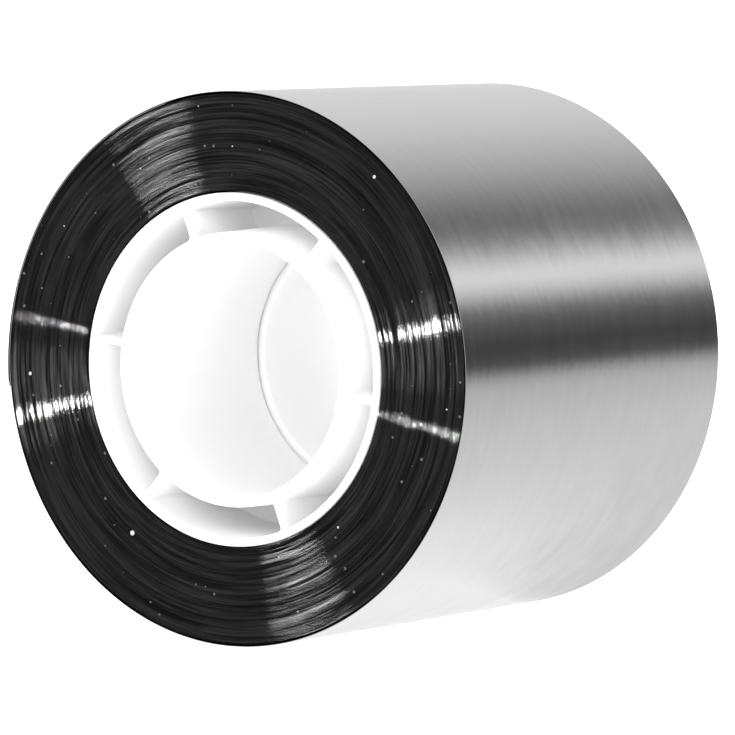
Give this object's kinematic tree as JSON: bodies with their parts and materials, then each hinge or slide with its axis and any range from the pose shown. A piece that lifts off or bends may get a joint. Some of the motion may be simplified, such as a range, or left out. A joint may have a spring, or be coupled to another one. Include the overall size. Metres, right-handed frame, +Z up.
{
  "type": "copper foil tape roll",
  "caption": "Roll of wide tinned copper foil tape wound in a spiral on white ribbed plastic cores, with a loose end that lifts and peels off its liner.",
  "frame": {"origin": "the middle of the roll, on the axis of its bore, half way between its two side faces", "axes": "+Y along the bore, from the front face to the rear face; +Z up, with the roll lying on its curved side; +X to the right as seen from the front"},
  "size_m": [0.0548, 0.048, 0.0547],
  "materials": {
    "core_plastic": "white moulded polystyrene, satin, slightly translucent",
    "strip_tape": "double-sided tissue tape",
    "foil": "tinned copper foil, bright, with fine rolling lines along the tape",
    "adhesive": "black pressure-sensitive acrylic adhesive",
    "release_film": "thin silicone-coated release film, dark at its edges"
  },
  "bodies": {
    "roll": {"core_front": "core_plastic", "core_rear": "core_plastic", "starter_strip": "strip_tape", "foil_winding": "foil", "adhesive_winding": "adhesive", "film_winding": "release_film"},
    "loose_film": {"film_end": "release_film"},
    "loose_foil": {"foil_end": "foil", "adhesive_end": "adhesive"}
  },
  "joints": [
    {"name": "tape_end_lift", "type": "hinge", "parent": "roll", "child": "loose_film", "pos_m": [-0.02434, 0, 0.01301], "axis": [0, 1, 0], "range_deg": [0, 85]},
    {"name": "foil_peel", "type": "hinge", "parent": "loose_film", "child": "loose_foil", "pos_m": [-0.02434, 0, 0.01301], "axis": [0, 1, 0], "range_deg": [0, 85]}
  ]
}
